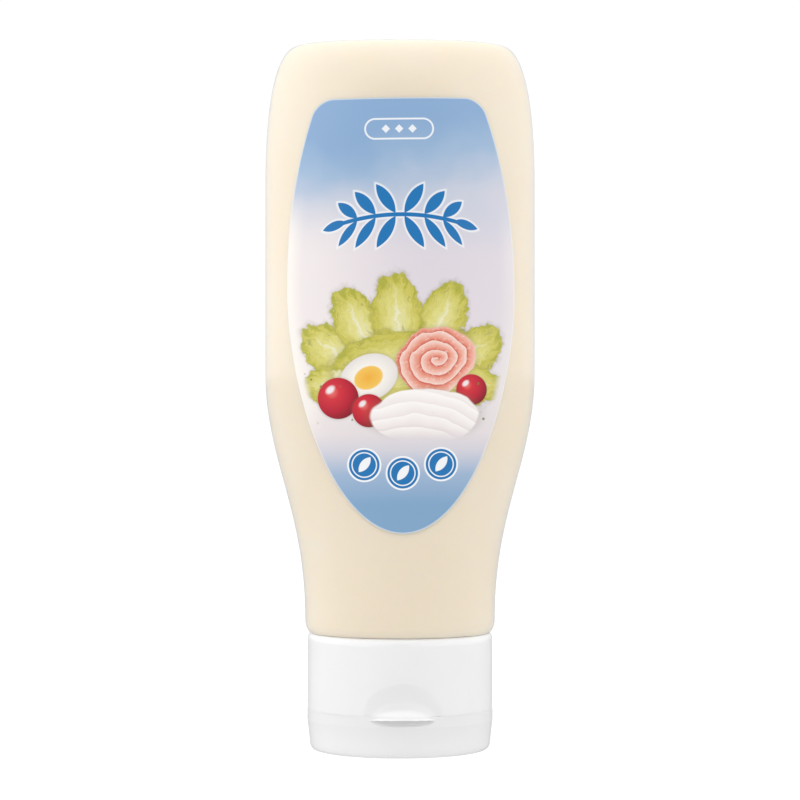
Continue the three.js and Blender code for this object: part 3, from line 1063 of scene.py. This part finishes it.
# %% Sizes of the cap
CAP_RADIUS = 25.8 * MM
CAP_DECK = 17.9 * MM
SOCKET_RADIUS = 17.3 * MM
SHOULDER_BOTTOM = 30.5 * MM
SHOULDER_LOW_HANDLE = 0.9 * MM
SHOULDER_HIGH_HANDLE = in_mm(0.15, 0.39)
SEAT_RADIUS = 25.05 * MM
SEAT_TOP = 32.49 * MM
SEAT_INSIDE = 32.24 * MM
SEAT_RIM = 0.55 * MM
PARTING_GAP = 0.01 * MM
LID_TOP = 11.3 * MM
LID_PROUD = 0.08 * MM
LID_TAPER_TOP = 8.5 * MM
LID_TAPER_BOTTOM = 2.2 * MM
LID_LOW_RADIUS = 25.2 * MM
LID_CORNER_RADIUS = 25.1 * MM
LID_FLAT_RADIUS = 23.4 * MM
UNDERSIDE_RING = 20.5 * MM
UNDERSIDE_RECESS = 0.4 * MM
GATE_RADIUS = 1.2 * MM

# %% Profiles and the spin
CAP_SIDES = 400
CURVE_STEPS = 8
WALL_STEP = 0.22 * MM
FINE_STEP = 0.11 * MM


def profile_line(start, end, step):
    """Points along a straight piece of profile, about a step apart, without its first point."""
    start, end = Vector(start), Vector(end)
    count = max(1, round((end - start).length / step))
    return [tuple(start.lerp(end, index / count)) for index in range(1, count + 1)]


def profile_curve(radii, heights):
    """Points along a cubic curve of the profile, without its first point."""
    shares = [step / CURVE_STEPS for step in range(1, CURVE_STEPS + 1)]
    return [(bezier(radii, share), bezier(heights, share)) for share in shares]


def spun(profile):
    """A closed turned skin from a profile of (radius, height) that starts and ends on the axis."""
    bm = bmesh.new()
    points = [bm.verts.new((radius, 0, height)) for radius, height in profile]
    edges = [bm.edges.new(pair) for pair in zip(points, points[1:])]
    bmesh.ops.spin(bm, geom=points + edges, cent=(0, 0, 0), axis=(0, 0, 1), angle=2 * math.pi,
                   steps=CAP_SIDES, use_merge=True)
    bmesh.ops.remove_doubles(bm, verts=bm.verts, dist=SAME_POINT)
    bmesh.ops.recalc_face_normals(bm, faces=bm.faces)
    return bm


# %% [markdown]
# ### Thumb hollow, lip and notch
# The front isn't round. An arched hollow runs out over a ramp to a lip on the lid, and a notch for
# the fingernail lies under the lip. Booleans could cut them, but they leave ragged triangles, which
# shade badly on a smooth wall. Here each form says how deep the front lies at a place, the forms
# meet in rounded corners, and the points of the spun wall move onto them.

# %% Scoop and lip as depths behind and in front of the wall
SCOOP_HALF_WIDTH = 10.8 * MM
SCOOP_TOP = 20.4 * MM
SCOOP_DEPTH = 1.7 * MM
SCOOP_EXPONENT = 2.2
RAMP_TOP = 17 * MM
RAMP_DEPTH = 1.6 * MM
RAMP_LEAN = 0.2
RAMP_SLOPE = 0.8
LIP_REACH = 1.5 * MM
LIP_HALF_LENGTH = 9.2 * MM
LIP_CREST = 10.6 * MM
LIP_DROOP = 0.35 * MM
RIM_SOFTNESS = 0.1 * MM
RAMP_SOFTNESS = 0.15 * MM
RAMP_BEND = 0.45 * MM
CREST_SOFTNESS = 0.1 * MM


def soft_max(one, other, softness):
    """The larger of two lengths, with the corner between them rounded."""
    share = limit(0.5 + (one - other) / (2 * softness))
    return lerp(other, one, share) + softness * share * (1 - share)


def soft_min(one, other, softness):
    return -soft_max(-one, -other, softness)


def hollow_face(across, height, wall):
    """The arched hollow's y: deepest low in the middle, and level with the wall at its rim."""
    out = math.hypot(across / SCOOP_HALF_WIDTH, (height - LID_TOP) / (SCOOP_TOP - LID_TOP))
    return wall + soft_max(SCOOP_DEPTH * (1 - out ** SCOOP_EXPONENT), 0.0, RIM_SOFTNESS)


def lip_face(across):
    """The y of the lip's crest: a round, seen from above, that meets the wall at both ends."""
    front = CAP_RADIUS + LIP_REACH
    end = math.sqrt(CAP_RADIUS ** 2 - LIP_HALF_LENGTH ** 2)
    radius = (LIP_HALF_LENGTH ** 2 + (front - end) ** 2) / (2 * (front - end))
    return radius - front - math.sqrt(max(radius ** 2 - across ** 2, 0.0))


def crest_height(across):
    """The crest hangs a little at its ends, so that it looks level from above."""
    return LIP_CREST - LIP_DROOP * (across / LIP_HALF_LENGTH) ** 2


def ramp_face(across, height, wall):
    """The ramp's y: it leans out from the back of the hollow, then slopes out to the crest."""
    deep = wall + RAMP_DEPTH
    crest = crest_height(across)
    left_to_run = deep - lip_face(across) - RAMP_LEAN * (RAMP_TOP - crest)
    slope = RAMP_SLOPE * (crest - height) + left_to_run
    return deep - RAMP_LEAN * (RAMP_TOP - height) - soft_max(slope, 0.0, RAMP_BEND)


# %% The fronts of the skirt and the lid
UNDERSIDE_SLOPE = 8.0
NOTCH_DEPTH = 1.0 * MM
NOTCH_DROP = 1.9 * MM
NOTCH_CURVE = 1.3 * MM
WALL_INSIDE = LID_FLAT_RADIUS + 1 * MM
FRONT_HALF_WIDTH = SCOOP_HALF_WIDTH + 1 * MM
FRONT_TOP = SCOOP_TOP + 1 * MM


def skirt_front(across, height, wall):
    hollow = hollow_face(across, height, wall)
    return soft_min(hollow, ramp_face(across, height, wall), RAMP_SOFTNESS)


def notch_face(across, height, wall):
    """The fingernail notch under the lip: a back wall that curves out again to the lid's wall."""
    fullness = limit(1 - (across / LIP_HALF_LENGTH) ** 4)
    above = limit((height - crest_height(across) + NOTCH_DROP * fullness) / NOTCH_CURVE)
    return wall + NOTCH_DEPTH * fullness * above * (2 - above)


def lid_front(across, height, wall):
    """The ramp above the crest, its underside, and the notch below, which cuts into the wall."""
    underside = lip_face(across) + UNDERSIDE_SLOPE * (crest_height(across) - height)
    lip = soft_max(ramp_face(across, height, wall), underside, CREST_SOFTNESS)
    behind = notch_face(across, height, wall) if height < crest_height(across) else wall
    return soft_min(behind, lip, CREST_SOFTNESS)


def shape_front(bm, face):
    """Moves the points of the front wall, beside and below the arch's top, onto the face given."""
    for point in bm.verts:
        across, wall, height = point.co
        on_wall = wall < 0 and math.hypot(across, wall) > WALL_INSIDE
        if on_wall and height < FRONT_TOP and abs(across) < FRONT_HALF_WIDTH:
            point.co.y = face(across, height, wall)


# %% [markdown]
# ### Hinge strap
# The shut lid hangs on a flat strap at the back, which lies flush in the wall. Only the groove
# round its upper half and the fold across it show, so the wall's points are pressed in there.

# %% The strap's grooves
STRAP_HALF_WIDTH = 8 * MM
STRAP_TOP = 16 * MM
GROOVE_HALF_WIDTH = 0.45 * MM
GROOVE_DEPTH = 0.4 * MM
FOLD_HALF_HEIGHT = 0.9 * MM
FOLD_DEPTH = 0.35 * MM


def strap_groove(across, height):
    """The depth of the groove round the strap's upper half, or of the fold across it."""
    inside = min(STRAP_HALF_WIDTH - abs(across), STRAP_TOP - height)
    border = limit(1 - (inside / GROOVE_HALF_WIDTH) ** 2) if height > LID_TOP else 0.0
    fold = limit(1 - abs(height - LID_TOP) / FOLD_HALF_HEIGHT) if inside > 0 else 0.0
    return max(GROOVE_DEPTH * border, FOLD_DEPTH * fold)


def shape_back(bm):
    for point in bm.verts:
        across, depth, height = point.co
        radius = math.hypot(across, depth)
        if depth > 0 and radius > WALL_INSIDE:
            kept = 1 - strap_groove(across, height) / radius
            point.co.x, point.co.y = across * kept, depth * kept


# %% The skirt, whose seat is as oval as the foot in it
CAP_TURN = math.radians(2)

skirt_bottom = LID_TOP + PARTING_GAP
handle_radius, handle_height = SHOULDER_HIGH_HANDLE
shoulder_radii = (CAP_RADIUS, CAP_RADIUS, CAP_RADIUS - handle_radius, SEAT_RADIUS)
shoulder_heights = (
    SHOULDER_BOTTOM, SHOULDER_BOTTOM + SHOULDER_LOW_HANDLE, SEAT_TOP - handle_height, SEAT_TOP,
)
skirt_profile = [
    (0.0, skirt_bottom),
    (CAP_RADIUS, skirt_bottom),
    *profile_line((CAP_RADIUS, skirt_bottom), (CAP_RADIUS, SHOULDER_BOTTOM), WALL_STEP),
    *profile_curve(shoulder_radii, shoulder_heights),
    (SEAT_RADIUS - SEAT_RIM, SEAT_INSIDE),
    (SOCKET_RADIUS, SEAT_INSIDE),
    (SOCKET_RADIUS, CAP_DECK),
    (0.0, CAP_DECK),
]
skirt_bm = spun(skirt_profile)
shape_front(skirt_bm, skirt_front)
shape_back(skirt_bm)
for point in skirt_bm.verts:
    rise = limit((point.co.z - SHOULDER_BOTTOM) / (SEAT_TOP - SHOULDER_BOTTOM))
    point.co.y *= lerp(1, FOOT_HALF_DEPTH / FOOT_HALF_WIDTH, rise)
turned(skirt_bm, CAP_TURN)

# %% The lid, with a ring and a gate mark in its flat end
lid_radius = CAP_RADIUS + LID_PROUD
corner_radii = (
    LID_FLAT_RADIUS,
    lerp(LID_FLAT_RADIUS, LID_CORNER_RADIUS, 2 / 3),
    lerp(LID_LOW_RADIUS, LID_CORNER_RADIUS, 2 / 3),
    LID_LOW_RADIUS,
)
lid_profile = [
    (0.0, UNDERSIDE_RECESS / 2),
    (GATE_RADIUS, UNDERSIDE_RECESS / 2),
    (GATE_RADIUS * 1.1, UNDERSIDE_RECESS),
    (UNDERSIDE_RING - UNDERSIDE_RECESS, UNDERSIDE_RECESS),
    (UNDERSIDE_RING, 0.0),
    (LID_FLAT_RADIUS, 0.0),
    *profile_curve(corner_radii, (0.0, 0.0, LID_TAPER_BOTTOM / 3, LID_TAPER_BOTTOM)),
    *profile_line((LID_LOW_RADIUS, LID_TAPER_BOTTOM), (lid_radius, LID_TAPER_TOP), WALL_STEP),
    *profile_line((lid_radius, LID_TAPER_TOP), (lid_radius, LID_TOP - LID_PROUD), FINE_STEP),
    (CAP_RADIUS, LID_TOP),
    (0.0, LID_TOP),
]
lid_bm = spun(lid_profile)
shape_front(lid_bm, lid_front)
shape_back(lid_bm)
turned(lid_bm, CAP_TURN)

# %% [markdown]
# ### White moulded plastic
# The cap is satin white under a soft gloss, and light enters it a little way. A fine grain breaks
# up what it mirrors, and its white drifts as the melt once flowed. The lid's wall, from its taper
# up to the parting line, is painted a shade darker than the skirt: painted shade, for the weaker
# light low on the cap.

# %% The cap's finish
CAP_WHITE = (0.893, 0.893, 0.896)
CAP_WHITE_FLOW = (0.879, 0.88, 0.886)
CAP_LID_SHADE = (0.845, 0.846, 0.85)
CAP_ROUGHNESS = 0.38
CAP_ROUGHNESS_SPREAD = 0.08
CAP_GRAIN = 0.35 * MM
CAP_GRAIN_DEPTH = 0.004 * MM
CAP_FLOW = 12 * MM

cap_material, paint = new_material("cap_plastic")
place = paint.place()
_, _, height = paint.split(place)
grain = paint.noise(place, CAP_GRAIN, 2.0)
flow = paint.noise(place, CAP_FLOW, 2.0)
white = paint.mix(CAP_WHITE, CAP_WHITE_FLOW, flow.rise(0.35, 0.65))
# Painted shade: the lid's wall is darkened from its taper up to the parting line.
painted_lid_shade = height.rise(LID_TOP + PARTING_GAP, LID_TOP) * height.rise(LID_TAPER_BOTTOM, LID_TAPER_TOP)
paint.finish(paint.principled(
    Base_Color=paint.mix(white, CAP_LID_SHADE, painted_lid_shade),
    Roughness=CAP_ROUGHNESS + grain * CAP_ROUGHNESS_SPREAD,
    Specular_IOR_Level=0.4,
    Coat_Weight=1.0,
    Coat_Roughness=0.15,
    Coat_IOR=1.6,
    Subsurface_Weight=0.3,
    Subsurface_Radius=(1.0, 1.0, 1.0),
    Subsurface_Scale=0.9 * MM,
    Normal=paint.bump(grain, CAP_GRAIN_DEPTH),
))

skirt = finished("cap_skirt_moulding", skirt_bm, cap_material)
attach(skirt, "root")
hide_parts("cap_skirt")

lid = finished("cap_lid_moulding", lid_bm, cap_material)
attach(lid, "root")
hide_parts("cap_lid")
